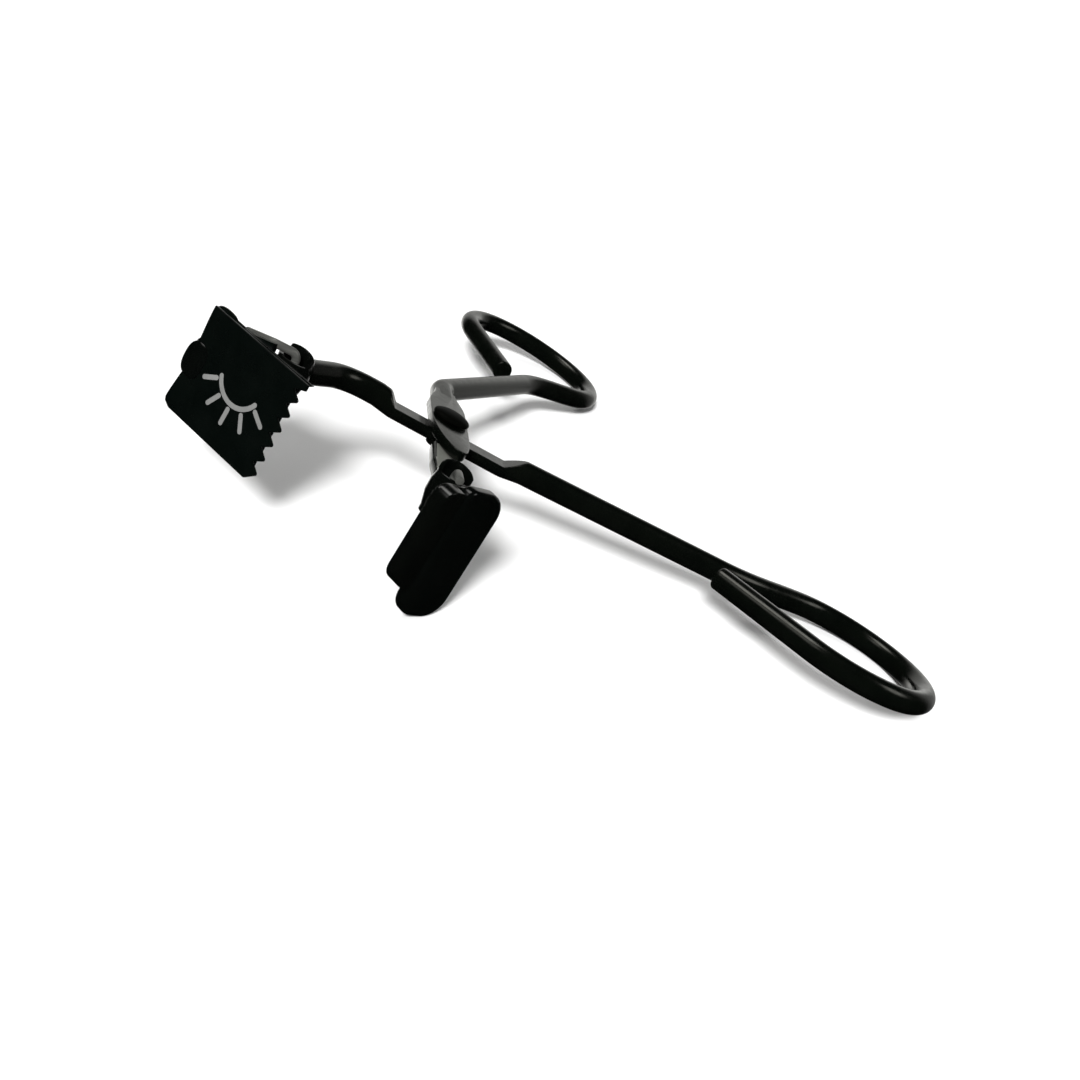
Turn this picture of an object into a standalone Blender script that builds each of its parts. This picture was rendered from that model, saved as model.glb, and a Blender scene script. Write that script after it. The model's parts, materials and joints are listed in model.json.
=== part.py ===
"""Scissor-action eyelash curler: two looped wire arms on a rivet, each with a swivelling head.

Sizes are in millimetres. The arms are laid out in the tool frame: its origin is the rivet's axis at
the wires' centre plane, +X runs along arm A's handle and +Z is the rivet's axis, towards its dome.
The tool frame is tilted so that the tool lies as it rests on a table, with Z = 0 as the table.
"""

import math

import bmesh
import bpy
from mathutils import Matrix, Vector

MM = 0.001
FIT_GAP = 0.12

# How the tool lies on a table: on the pad head's end and the ends of the two finger loops.
REST_ROLL = math.radians(-7.661)
REST_PITCH = math.radians(11.909)
REST_ORIGIN = Vector((-19.271, -25.908, 14.344))

# Arm wire and the handle that both arms share, one the mirror image of the other.
WIRE_RADIUS = 1.6
WIRE_SIDES_STEP = 6
HANDLE_PITCH = math.radians(1.4)
HANDLE_ROLL = math.radians(2.4)
NECK_START = 40.8
LOOP_CENTRE = Vector((59.8, -6.7))
LOOP_HALF_LENGTH = 11.6
LOOP_HALF_WIDTH = 12.4
LOOP_ENTRY = math.radians(108)
LOOP_EXIT = math.radians(-135)
NECK_TENSION = 0.38
TAIL_LENGTH = 16.1
HANDLE_ANGLE = math.radians(65.1)
ARM_B_SHIFT = Vector((5.5, 8.0))

# Arm A, from its swivel barrel to its handle.
COMB_AXIS = Vector((-20.3, -9.4))
ARM_A_BEND = Vector((-14.2, 0.0))
ARM_A_BEND_RADIUS = 5.9
LAP_START = -7.0
LAP_END = 8.9
LAP_RAMP_HEAD = 1.4
LAP_RAMP_HANDLE = 2.6
LAP_TOP = -0.15
LAP_DROP = 0.4
LAP_JOGGLE = 2.6
LAP_BEND_RADIUS = 2.0

# Arm B: the oval plate that carries the rivet's head, and the neck that drops to its barrel.
PAD_AXIS = Vector((1.8, -17.3))
PLATE_ANGLE = math.radians(94.5)
PLATE_BOTTOM = 0.25
PLATE_TOP = 1.55
PLATE_HALF_WIDTH = 2.6
PLATE_NEAR_LENGTH = 11.2
PLATE_TIP_OFFSET = 1.0
PLATE_FAR_START = 6.0
PLATE_FAR_LENGTH = 13.0
ARM_B_BEND_DISTANCE = 16.5
ARM_B_BEND_RADIUS = 3.2
ARM_B_LAP = 7.5
ARM_B_FILED_START = 4.0
ARM_B_TOP_RAMP_START = 10.4
ARM_B_TOP_RAMP_END = 13.4
ARM_B_UNDER_RAMP_END = 11.0
NECK_Z = -1.0
NECK_ROOT = 6.6
NECK_ROOT_Z = -0.6
NECK_TURN = 11.6
NECK_BEND_RADIUS = 4.0
NECK_FLAT_START = 6.0
NECK_FLAT_END = 15.0
NECK_FLAT_HIGH = 0.5
NECK_FLAT_LOW = -0.75

# Rivet and washer at the crossing.
RIVET_SHANK_RADIUS = 1.2
RIVET_HOLE_RADIUS = 1.3
RIVET_HEAD_RADIUS = 2.5
RIVET_HEAD_HEIGHT = 1.0
RIVET_TAIL_RADIUS = 1.5
RIVET_TAIL_HEIGHT = 0.3
LAP_WASHER_RADIUS = 2.1

# Swivel barrels, bushes and hooked pins, shared by both heads.
BARREL_RADIUS = 2.4
BORE_RADIUS = 1.65
COLLAR_RADIUS = 2.15
COLLAR_HEIGHT = 1.3
COLLAR_TILT = math.radians(17)
COMB_LEAN = math.radians(320)
PAD_LEAN = math.radians(232)
COMB_WINDOW = math.radians(261)
PAD_WINDOW = math.radians(225)
PIN_RADIUS = 0.55
PIN_CLEARANCE = 0.08
BUSH_RECESS = 2.2
HOOK_LENGTH = 3.1
COMB_HOOK_ANGLE = math.radians(221)
PAD_HOOK_ANGLE = math.radians(232)
TONGUE_END = Vector((-6.8, -1.92, 1.0))
HOOK_BEND_RADIUS = 0.9
PIN_WASHER_RADIUS = 1.9
PIN_WASHER_THICKNESS = 0.4

# Comb head: three thin layers, seen from its barrel with +X towards the teeth and -Y its front.
COMB_ANGLE = math.radians(-35.3)
HEAD_CANT = math.radians(2)
COMB_BARREL_TOP = 2.6
COMB_BARREL_BOTTOM = -2.7
COMB_LEFT = -11.1
COMB_ROOT = 4.5
COMB_TIP = 5.8
COMB_CORNER = 6.05
COMB_TOP = 1.45
COMB_BOTTOM = -12.5
COMB_TEETH = 6
COMB_PITCH = 2.05
COMB_FIRST_ROOT_Z = 0.05
COMB_TIP_FLAT = 0.4
COMB_LAYER = 0.45
COMB_BACK_Y = -2.6
COMB_EDGE_HOLLOW = 0.5
COMB_EDGE_SLANT = 0.35
COMB_CORNER_RADIUS = 1.2
COMB_ROOT_INSET = 0.4
STRIP_LEFT = -6.0
TAB_CENTRE_Z = -5.6
TAB_HEIGHT = 4.1
TAB_WIDTH = 3.0
TAB_PROUD = 0.3

# Pad head: a sheet carrier folded into a channel, and the silicone pad held in it.
PAD_ANGLE = math.radians(44)
PAD_BARREL_TOP = 1.5
PAD_BARREL_BOTTOM = -4.6
CARRIER_LEFT = -5.9
CARRIER_RIGHT = 2.8
CARRIER_LIP = 2.98
CARRIER_TOP = 0.6
CARRIER_BOTTOM = -12.6
CARRIER_SHEET = 0.45
CARRIER_BACK_Y = -2.9
CARRIER_DEPTH = 2.2
PAD_RIGHT = 4.5
PAD_TOP = 1.3
PAD_BOTTOM = -16.1
PAD_LOBE_LEFT = -2.8
PAD_PROUD = 0.3


def clear_scene():
    for old in list(bpy.data.objects):
        bpy.data.objects.remove(old, do_unlink=True)


def collection(name):
    made = bpy.data.collections.new(name)
    bpy.context.scene.collection.children.link(made)
    return made


def empty(name, parent, place, turn=0.0):
    made = bpy.data.objects.new(name, None)
    made.empty_display_size = 0.004
    parts.objects.link(made)
    made.parent = parent
    made.location = Vector((place[0], place[1], 0.0)) * MM
    made.rotation_euler = (0.0, 0.0, turn)
    return made


def material(name, colour, roughness, metallic):
    made = bpy.data.materials.new(name)
    made.use_nodes = True
    shader = made.node_tree.nodes["Principled BSDF"]
    shader.inputs["Base Color"].default_value = (*colour, 1.0)
    shader.inputs["Roughness"].default_value = roughness
    shader.inputs["Metallic"].default_value = metallic
    return made


def finish_mesh(mesh, sharp_degrees=35):
    mesh.shade_smooth()
    mesh.set_sharp_from_angle(angle=math.radians(sharp_degrees))


def canted(mesh):
    """A head's plate, turned a little in its own plane about the swivel axis."""
    mesh.transform(Matrix.Rotation(HEAD_CANT, 4, "Y"))
    return mesh


def add_part(name, mesh, parent, look):
    """A named sub-part whose mesh is in its parent's axes, in metres."""
    made = bpy.data.objects.new(name, mesh)
    mesh.name = name
    mesh.materials.clear()
    mesh.materials.append(look)
    finish_mesh(mesh)
    parts.objects.link(made)
    made.parent = parent
    return made


def mesh_of(work):
    mesh = bpy.data.meshes.new("shape")
    bmesh.ops.recalc_face_normals(work, faces=work.faces)
    work.to_mesh(mesh)
    work.free()
    return mesh


def curve_mesh(curve):
    """The curve as one welded mesh, which takes Booleans."""
    guide = bpy.data.objects.new("guide", curve)
    parts.objects.link(guide)
    evaluated = guide.evaluated_get(bpy.context.evaluated_depsgraph_get())
    mesh = bpy.data.meshes.new_from_object(evaluated)
    bpy.data.objects.remove(guide, do_unlink=True)
    work = bmesh.new()
    work.from_mesh(mesh)
    bmesh.ops.remove_doubles(work, verts=work.verts, dist=1e-7)
    bpy.data.meshes.remove(mesh)
    return mesh_of(work)


def tube(points, radius, sides_step=WIRE_SIDES_STEP):
    """Round wire along the points, with square-cut ends."""
    curve = bpy.data.curves.new("wire", "CURVE")
    curve.dimensions = "3D"
    curve.bevel_depth = radius * MM
    curve.bevel_resolution = sides_step
    curve.use_fill_caps = True
    spline = curve.splines.new("POLY")
    spline.points.add(len(points) - 1)
    for target, point in zip(spline.points, points):
        target.co = (*(Vector(point) * MM), 1.0)
    return curve_mesh(curve)


def slab(outline, low, high):
    """A flat outline in XY, filled between two heights."""
    work = bmesh.new()
    bottom = [work.verts.new((x * MM, y * MM, low * MM)) for x, y in outline]
    face = work.faces.new(bottom)
    grown = bmesh.ops.extrude_face_region(work, geom=[face])
    lifted = [item for item in grown["geom"] if isinstance(item, bmesh.types.BMVert)]
    bmesh.ops.translate(work, verts=lifted, vec=(0.0, 0.0, (high - low) * MM))
    return mesh_of(work)


def upright(outline, back, front):
    """A flat outline in XZ, filled from its back to its front face along Y."""
    mesh = slab(outline, -back, -front)
    mesh.transform(Matrix.Rotation(math.radians(90), 4, "X"))
    return mesh


def block(low, high, bevel=0.0, segments=2):
    work = bmesh.new()
    bmesh.ops.create_cube(work, size=1.0)
    size = Vector(high) - Vector(low)
    middle = (Vector(high) + Vector(low)) / 2
    bmesh.ops.scale(work, vec=size * MM, verts=work.verts)
    bmesh.ops.translate(work, vec=middle * MM, verts=work.verts)
    if bevel:
        bmesh.ops.bevel(
            work, geom=list(work.edges), offset=bevel * MM, segments=segments, affect="EDGES"
        )
    return mesh_of(work)


def cylinder(radius, low, high, segments=48, place=(0.0, 0.0)):
    work = bmesh.new()
    shift = Matrix.Translation(Vector((place[0], place[1], (low + high) / 2)) * MM)
    bmesh.ops.create_cone(
        work,
        cap_ends=True,
        segments=segments,
        radius1=radius * MM,
        radius2=radius * MM,
        depth=(high - low) * MM,
        matrix=shift,
    )
    return mesh_of(work)


def turned(profile, steps=40):
    """A profile of (radius, height) pairs turned round Z: a closed ring, or a solid from the axis."""
    outline = bpy.data.meshes.new("profile")
    points = [(radius * MM, 0.0, height * MM) for radius, height in profile]
    edges = [(index, index + 1) for index in range(len(points) - 1)]
    if profile[0][0] > 0:
        edges.append((len(points) - 1, 0))
    outline.from_pydata(points, edges, [])
    guide = bpy.data.objects.new("guide", outline)
    parts.objects.link(guide)
    screw = guide.modifiers.new("turn", "SCREW")
    screw.steps = steps
    screw.render_steps = steps
    screw.use_merge_vertices = True
    screw.merge_threshold = 1e-6
    evaluated = guide.evaluated_get(bpy.context.evaluated_depsgraph_get())
    mesh = bpy.data.meshes.new_from_object(evaluated)
    bpy.data.objects.remove(guide, do_unlink=True)
    work = bmesh.new()
    work.from_mesh(mesh)
    bmesh.ops.remove_doubles(work, verts=work.verts, dist=1e-7)
    return mesh_of(work)


def combine(base, other, operation):
    """A Boolean of two meshes in the same axes."""
    first = bpy.data.objects.new("base", base)
    second = bpy.data.objects.new("cutter", other)
    parts.objects.link(first)
    cutters.objects.link(second)
    second.hide_render = True
    second.display_type = "WIRE"
    step = first.modifiers.new("cut", "BOOLEAN")
    step.operation = operation
    step.solver = "EXACT"
    step.object = second
    evaluated = first.evaluated_get(bpy.context.evaluated_depsgraph_get())
    mesh = bpy.data.meshes.new_from_object(evaluated)
    bpy.data.objects.remove(first, do_unlink=True)
    bpy.data.objects.remove(second, do_unlink=True)
    return mesh


def filleted(corners, radii, step=math.radians(9)):
    """The corner points joined by straight runs, each inner corner rounded to its radius."""
    path = [Vector(corners[0])]
    for before, corner, after, radius in zip(corners, corners[1:], corners[2:], radii):
        corner = Vector(corner)
        arriving = (corner - Vector(before)).normalized()
        leaving = (Vector(after) - corner).normalized()
        turn = arriving.angle(leaving)
        reach = radius * math.tan(turn / 2)
        start = corner - arriving * reach
        inward = (leaving - arriving * arriving.dot(leaving)).normalized()
        centre = start + inward * radius
        count = max(2, round(turn / step))
        for index in range(count + 1):
            angle = turn * index / count
            path.append(centre - inward * radius * math.cos(angle) + arriving * radius * math.sin(angle))
    path.append(Vector(corners[-1]))
    return path


def handle_outline():
    """The handle's centreline in its own plane: shaft, neck, oval loop and the tail beside the shaft."""

    def on_loop(angle):
        across = Vector((LOOP_HALF_LENGTH * math.cos(angle), LOOP_HALF_WIDTH * math.sin(angle)))
        return LOOP_CENTRE + across

    def along_loop(angle):
        return Vector((LOOP_HALF_LENGTH * math.sin(angle), -LOOP_HALF_WIDTH * math.cos(angle))).normalized()

    start = Vector((NECK_START, 0.0))
    entry = on_loop(LOOP_ENTRY)
    pull = (entry - start).length * NECK_TENSION
    first = start + Vector((pull, 0.0))
    second = entry - along_loop(LOOP_ENTRY) * pull
    points = []
    neck_steps = 10
    for index in range(neck_steps):
        t = index / neck_steps
        s = 1 - t
        points.append(start * s**3 + first * 3 * s * s * t + second * 3 * s * t * t + entry * t**3)
    loop_steps = 34
    for index in range(loop_steps + 1):
        points.append(on_loop(LOOP_ENTRY + (LOOP_EXIT - LOOP_ENTRY) * index / loop_steps))
    points.append(points[-1] + along_loop(LOOP_EXIT) * TAIL_LENGTH)
    return points


def handle_points(mirrored):
    """The handle in the tool frame, with its slight rise and roll; arm B's is arm A's turned over."""
    side = -1 if mirrored else 1
    shift = ARM_B_SHIFT if mirrored else Vector((0.0, 0.0))
    turn = HANDLE_ANGLE if mirrored else 0.0
    tilt = Matrix.Rotation(-HANDLE_PITCH, 3, "Y") @ Matrix.Rotation(-side * HANDLE_ROLL, 3, "X")
    swing = Matrix.Rotation(turn, 3, "Z")
    offset = Vector((shift.x, shift.y, 0.0))
    return [swing @ (tilt @ Vector((p.x, p.y * side, 0.0)) + offset) for p in handle_outline()]


def ring_points(axis, z):
    return Vector((axis.x, axis.y, z))


def build_arm_a():
    handle = handle_points(mirrored=False)
    head_end = ring_points(COMB_AXIS, 0.0)
    bend = Vector((ARM_A_BEND.x, ARM_A_BEND.y, 0.0))
    lap_start = Vector((LAP_START, 0.0, -LAP_DROP))
    lap_end = Vector((LAP_END, 0.0, -LAP_DROP))
    joggle = Vector((LAP_JOGGLE, 0.0, LAP_DROP))
    rise = Vector((-LAP_JOGGLE, 0.0, LAP_DROP))
    corners = [head_end, bend, lap_start + rise, lap_start, lap_end, lap_end + joggle]
    path = filleted(corners, [ARM_A_BEND_RADIUS] + [LAP_BEND_RADIUS] * 3)
    mesh = tube(path + handle, WIRE_RADIUS)
    high = WIRE_RADIUS + 1.0
    head_slope = LAP_RAMP_HEAD * (high - LAP_TOP) / (WIRE_RADIUS - LAP_TOP)
    handle_slope = LAP_RAMP_HANDLE * (high - LAP_TOP) / (WIRE_RADIUS - LAP_TOP)
    profile = [
        (LAP_START, LAP_TOP),
        (LAP_END, LAP_TOP),
        (LAP_END + handle_slope, high),
        (LAP_START - head_slope, high),
    ]
    mesh = combine(mesh, upright(profile, -4.0, 4.0), "DIFFERENCE")
    mesh = combine(mesh, cylinder(RIVET_HOLE_RADIUS, -3.0, 3.0), "DIFFERENCE")
    socket = cylinder(BARREL_RADIUS + FIT_GAP, -4.0, 4.0, place=COMB_AXIS)
    return combine(mesh, socket, "DIFFERENCE")


def plate_outline():
    """Oval plate along +X: half an ellipse whose tip is set off to one side, then a taper to the wire."""
    upper = []
    lower = []
    steps = 12
    for index in range(steps + 1):
        angle = math.pi * (1 - 0.5 * index / steps)
        x = PLATE_NEAR_LENGTH * math.cos(angle)
        middle = -PLATE_TIP_OFFSET * (x / PLATE_NEAR_LENGTH) ** 2
        width = PLATE_HALF_WIDTH * math.sin(angle)
        upper.append((x, middle + width))
        lower.append((x, middle - width))
    narrow = WIRE_RADIUS - 0.1
    for index in range(steps + 1):
        share = index / steps
        x = PLATE_FAR_START + (PLATE_FAR_LENGTH - PLATE_FAR_START) * share
        width = narrow + (PLATE_HALF_WIDTH - narrow) * (0.5 + 0.5 * math.cos(math.pi * share))
        upper.append((x, width))
        lower.append((x, -width))
    return upper + list(reversed(lower[1:]))


def build_arm_b():
    handle = handle_points(mirrored=True)
    along = Vector((math.cos(PLATE_ANGLE), math.sin(PLATE_ANGLE), 0.0))
    bend = along * ARM_B_BEND_DISTANCE
    bend.z = handle[0].z * 0.5
    far = filleted([along * 6.0, bend, handle[0]], [ARM_B_BEND_RADIUS], math.radians(6))
    mesh = tube(far[:-1] + handle, WIRE_RADIUS)

    swing = Matrix.Rotation(PLATE_ANGLE, 4, "Z")
    high = WIRE_RADIUS + 1.5
    low = -WIRE_RADIUS - 1.4
    above = [
        (ARM_B_FILED_START, PLATE_TOP),
        (ARM_B_TOP_RAMP_START, PLATE_TOP),
        (ARM_B_TOP_RAMP_END, high),
        (ARM_B_FILED_START, high),
    ]
    below = [
        (ARM_B_FILED_START, low),
        (ARM_B_UNDER_RAMP_END, low),
        (ARM_B_LAP, PLATE_BOTTOM),
        (ARM_B_FILED_START, PLATE_BOTTOM),
    ]
    for outline in (above, below):
        cutter = upright(outline, -4.0, 4.0)
        cutter.transform(swing)
        mesh = combine(mesh, cutter, "DIFFERENCE")

    plate = slab(plate_outline(), PLATE_BOTTOM, PLATE_TOP)
    plate.transform(swing)
    mesh = combine(mesh, plate, "UNION")

    neck_start = -along * NECK_ROOT
    neck_start.z = NECK_ROOT_Z
    neck_turn = -along * NECK_TURN
    neck_turn.z = NECK_Z
    neck_corners = [neck_start, neck_turn, ring_points(PAD_AXIS, NECK_Z)]
    neck_path = filleted(neck_corners, [NECK_BEND_RADIUS], math.radians(6))
    flat = upright(
        [
            (-NECK_FLAT_END, NECK_FLAT_LOW),
            (-NECK_FLAT_START, NECK_FLAT_HIGH),
            (-NECK_FLAT_START, 3.0),
            (-NECK_FLAT_END, 3.0),
        ],
        -5.0,
        5.0,
    )
    flat.transform(swing)
    neck = combine(tube(neck_path, WIRE_RADIUS), flat, "DIFFERENCE")
    mesh = combine(mesh, neck, "UNION")
    mesh = combine(mesh, cylinder(RIVET_HOLE_RADIUS, -3.0, 3.0), "DIFFERENCE")
    socket = cylinder(BARREL_RADIUS + FIT_GAP, -6.0, 4.0, place=PAD_AXIS)
    return combine(mesh, socket, "DIFFERENCE")


def build_rivet():
    """Domed head, plain shank and a peened tail."""
    seat = PLATE_TOP + FIT_GAP
    tail = -WIRE_RADIUS - LAP_DROP - FIT_GAP
    rim = 0.25
    profile = []
    steps = 8
    for index in range(steps + 1):
        angle = math.pi / 2 * (1 - index / steps)
        height = seat + rim + (RIVET_HEAD_HEIGHT - rim) * math.sin(angle)
        profile.append((RIVET_HEAD_RADIUS * math.cos(angle), height))
    profile[0] = (0.0, seat + RIVET_HEAD_HEIGHT)
    profile += [
        (RIVET_HEAD_RADIUS, seat),
        (RIVET_SHANK_RADIUS, seat),
        (RIVET_SHANK_RADIUS, tail),
        (RIVET_TAIL_RADIUS, tail),
        (RIVET_TAIL_RADIUS, tail - RIVET_TAIL_HEIGHT * 0.4),
        (RIVET_TAIL_RADIUS * 0.7, tail - RIVET_TAIL_HEIGHT),
        (0.0, tail - RIVET_TAIL_HEIGHT),
    ]
    return turned(profile)


def ring(inner, outer, low, high, steps=40):
    return turned([(outer, high), (outer, low), (inner, low), (inner, high)], steps)


def build_barrel(top, bottom, lean, opening):
    """Upright tube whose collar leans towards the head's tongue, with a fine groove under the collar."""
    body = turned(
        [
            (BARREL_RADIUS - 0.3, top - COLLAR_HEIGHT + 0.1),
            (BARREL_RADIUS, top - COLLAR_HEIGHT - 1.2),
            (BARREL_RADIUS, bottom + 2.0),
            (BARREL_RADIUS - 0.5, bottom),
            (BORE_RADIUS - 0.1, bottom),
            (BORE_RADIUS - 0.1, top - COLLAR_HEIGHT + 0.1),
        ],
        48,
    )
    collar = turned(
        [
            (COLLAR_RADIUS - 0.15, 0.0),
            (COLLAR_RADIUS, -0.15),
            (COLLAR_RADIUS, -COLLAR_HEIGHT + 0.25),
            (COLLAR_RADIUS - 0.15, -COLLAR_HEIGHT + 0.15),
            (COLLAR_RADIUS - 0.15, -COLLAR_HEIGHT - 0.6),
            (BORE_RADIUS - 0.2, -COLLAR_HEIGHT - 0.6),
            (BORE_RADIUS - 0.2, 0.0),
        ],
        48,
    )
    tilt = Matrix.Rotation(COLLAR_TILT, 4, Vector((-math.sin(lean), math.cos(lean), 0.0)))
    collar.transform(Matrix.Translation((0.0, 0.0, (top - 0.5) * MM)) @ tilt)
    mesh = combine(body, collar, "UNION")
    mesh = combine(mesh, cylinder(BORE_RADIUS, bottom - 1.0, top + 2.0), "DIFFERENCE")
    window = block((-0.3, -4.0, top - COLLAR_HEIGHT + 0.1), (4.0, 4.0, top + 2.0))
    window.transform(Matrix.Rotation(opening, 4, "Z"))
    return combine(mesh, window, "DIFFERENCE")


def build_pin(top, bottom, heading, tongue_end=None):
    """Round pin up the bore, bent over the rim, and on along the back plate if a tongue's end is given."""
    tongue_z = top - COLLAR_HEIGHT + 0.2 + PIN_RADIUS
    over = Vector((math.cos(heading), math.sin(heading), 0.0)) * HOOK_LENGTH
    over.z = tongue_z
    foot = Vector((0.0, 0.0, bottom - PIN_WASHER_THICKNESS - 3 * FIT_GAP - 0.5))
    corners = [foot, Vector((0.0, 0.0, tongue_z)), over]
    radii = [HOOK_BEND_RADIUS]
    if tongue_end:
        corners.append(tongue_end)
        radii.append(HOOK_BEND_RADIUS)
    return tube(filleted(corners, radii, math.radians(12)), PIN_RADIUS, 4)


def build_swivel(prefix, head, arm, top, bottom, lean, opening, heading, tongue_end=None):
    """The barrel on the arm's end, its bush, and the head's hooked pin with its retaining washer."""
    add_part(prefix + "_barrel", build_barrel(top, bottom, lean, opening), arm, black_metal)
    bush = ring(PIN_RADIUS + PIN_CLEARANCE, BORE_RADIUS - 0.05, bottom + 0.2, top - BUSH_RECESS)
    add_part(prefix + "_bush", bush, arm, black_nylon)
    pin = build_pin(top, bottom, heading, tongue_end)
    add_part(prefix + "_hinge_pin", pin, head, grey_metal)
    washer_top = bottom - FIT_GAP
    washer = ring(
        PIN_RADIUS + PIN_CLEARANCE, PIN_WASHER_RADIUS, washer_top - PIN_WASHER_THICKNESS, washer_top
    )
    add_part(prefix + "_pin_washer", washer, head, black_metal)


def left_edge(low, high, inset=0.0, steps=30):
    """The comb plates' outer edge, hollowed a little between its corners, from the bottom up."""
    edge = []
    for index in range(steps + 1):
        share = index / steps
        hollow = COMB_EDGE_HOLLOW * math.sin(math.pi * share) ** 2
        to_bottom = max(0.0, COMB_CORNER_RADIUS - (high - low) * share)
        corner = COMB_CORNER_RADIUS - math.sqrt(max(COMB_CORNER_RADIUS**2 - to_bottom**2, 0.0))
        across = COMB_LEFT + COMB_EDGE_SLANT * share + hollow + corner + inset
        edge.append((across, low + (high - low) * share))
    return edge


def toothed_edge():
    """The comb's free edge from the bottom up: blunt triangular teeth below a plain corner."""
    edge = [(COMB_ROOT, COMB_BOTTOM)]
    for index in reversed(range(COMB_TEETH)):
        upper_root = COMB_FIRST_ROOT_Z - COMB_PITCH * index
        middle = upper_root - COMB_PITCH / 2
        edge += [
            (COMB_TIP - 0.1, middle - COMB_TIP_FLAT / 2),
            (COMB_TIP, middle),
            (COMB_TIP - 0.1, middle + COMB_TIP_FLAT / 2),
            (COMB_ROOT + 0.1, upper_root - 0.1),
            (COMB_ROOT, upper_root),
            (COMB_ROOT + 0.1, upper_root + 0.1),
        ]
    return edge + [(COMB_CORNER, COMB_TOP - 0.8), (COMB_CORNER, COMB_TOP)]


def build_comb_strip():
    """Middle layer: a plain spacer strip that stops behind the roots of the teeth."""
    right = COMB_ROOT - COMB_ROOT_INSET
    bottom = COMB_BOTTOM + 0.1
    outline = [(STRIP_LEFT, bottom), (right, bottom), (right, COMB_TOP), (STRIP_LEFT, COMB_TOP)]
    back = COMB_BACK_Y - COMB_LAYER - FIT_GAP
    return upright(outline, back, back - COMB_LAYER)


def build_comb_face():
    """Front plate: toothed along one edge, with a notch in the other for the rubber tab."""
    outline = toothed_edge() + list(reversed(left_edge(COMB_BOTTOM, COMB_TOP)))
    back = COMB_BACK_Y - 2 * (COMB_LAYER + FIT_GAP)
    mesh = upright(outline, back, back - COMB_LAYER)
    half = TAB_HEIGHT / 2 + FIT_GAP
    notch = block(
        (COMB_LEFT - 1.0, back - 2.0, TAB_CENTRE_Z - half),
        (COMB_LEFT + TAB_WIDTH - TAB_PROUD + FIT_GAP, back + 2.0, TAB_CENTRE_Z + half),
        0.5,
        3,
    )
    return combine(mesh, notch, "DIFFERENCE")


def build_comb_back():
    """Back plate, which the swivel's tongue is fixed to."""
    bottom = COMB_BOTTOM + 0.2
    top = COMB_TOP - 0.15
    right = COMB_ROOT - COMB_ROOT_INSET
    corner = [(COMB_CORNER - 0.2, top), (right, COMB_FIRST_ROOT_Z), (right, bottom)]
    outline = corner + left_edge(bottom, top, 0.05)
    return upright(outline, COMB_BACK_Y, COMB_BACK_Y - COMB_LAYER)


def build_comb_tab():
    """Rubber tab held between the plates, which fills the notch and stands proud of it."""
    back = COMB_BACK_Y - COMB_LAYER - FIT_GAP
    front = COMB_BACK_Y - 3 * COMB_LAYER - 2 * FIT_GAP - TAB_PROUD
    left = COMB_LEFT - TAB_PROUD
    low = TAB_CENTRE_Z - TAB_HEIGHT / 2
    return block((left, front, low), (left + TAB_WIDTH, back, low + TAB_HEIGHT), 0.4, 3)


def rounded_outline(left, right, bottom, top, radii, steps=6):
    """Rectangle with its own radius at each corner, from the bottom left, anticlockwise."""
    corners = [(left, bottom), (right, bottom), (right, top), (left, top)]
    outline = []
    for index, ((x, z), radius) in enumerate(zip(corners, radii)):
        centre_x = x + radius if x == left else x - radius
        centre_z = z + radius if z == bottom else z - radius
        first = math.radians(180 + 90 * index)
        for step in range(steps + 1):
            angle = first + math.radians(90) * step / steps
            outline.append((centre_x + radius * math.cos(angle), centre_z + radius * math.sin(angle)))
    return outline


def build_carrier():
    """Sheet channel: a back, an outer side and a short front lip with rounded corners."""
    back = CARRIER_BACK_Y
    front = CARRIER_BACK_Y - CARRIER_DEPTH
    span = (CARRIER_BOTTOM, CARRIER_TOP)
    back_outline = rounded_outline(CARRIER_LEFT, CARRIER_RIGHT, *span, (2.0, 1.5, 1.5, 1.8))
    mesh = upright(back_outline, back, back - CARRIER_SHEET)
    lip_right = CARRIER_LEFT + CARRIER_LIP
    lip_outline = rounded_outline(CARRIER_LEFT, lip_right, *span, (2.0, 0.3, 0.3, 1.8))
    lip = upright(lip_outline, front + CARRIER_SHEET, front)
    mesh = combine(mesh, lip, "UNION")
    side = block(
        (CARRIER_LEFT, front + 0.1, CARRIER_BOTTOM + 2.0),
        (CARRIER_LEFT + CARRIER_SHEET, back - 0.1, CARRIER_TOP - 1.8),
    )
    return combine(mesh, side, "UNION")


def build_pad():
    """Silicone pad: a tongue inside the channel and a taller lobe that stands proud beside the lip."""
    gap = 2 * FIT_GAP
    back = CARRIER_BACK_Y - CARRIER_SHEET - gap
    inner_front = CARRIER_BACK_Y - CARRIER_DEPTH + CARRIER_SHEET + gap
    tongue = block(
        (CARRIER_LEFT + CARRIER_SHEET + gap, inner_front, CARRIER_BOTTOM + 0.4),
        (PAD_LOBE_LEFT + 2.0, back, CARRIER_TOP - 0.4),
    )
    outline = rounded_outline(PAD_LOBE_LEFT, PAD_RIGHT, PAD_BOTTOM, PAD_TOP, (2.6, 3.0, 2.4, 1.6))
    front = CARRIER_BACK_Y - CARRIER_DEPTH - PAD_PROUD
    lobe = upright(outline, back, front)
    work = bmesh.new()
    work.from_mesh(lobe)
    rim = [edge for edge in work.edges if abs(edge.verts[0].co.y - edge.verts[1].co.y) < 1e-9]
    bmesh.ops.bevel(work, geom=rim, offset=0.6 * MM, segments=2, affect="EDGES")
    return combine(mesh_of(work), tongue, "UNION")


clear_scene()
parts = collection("eyelash_curler")
cutters = collection("cutters")

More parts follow.
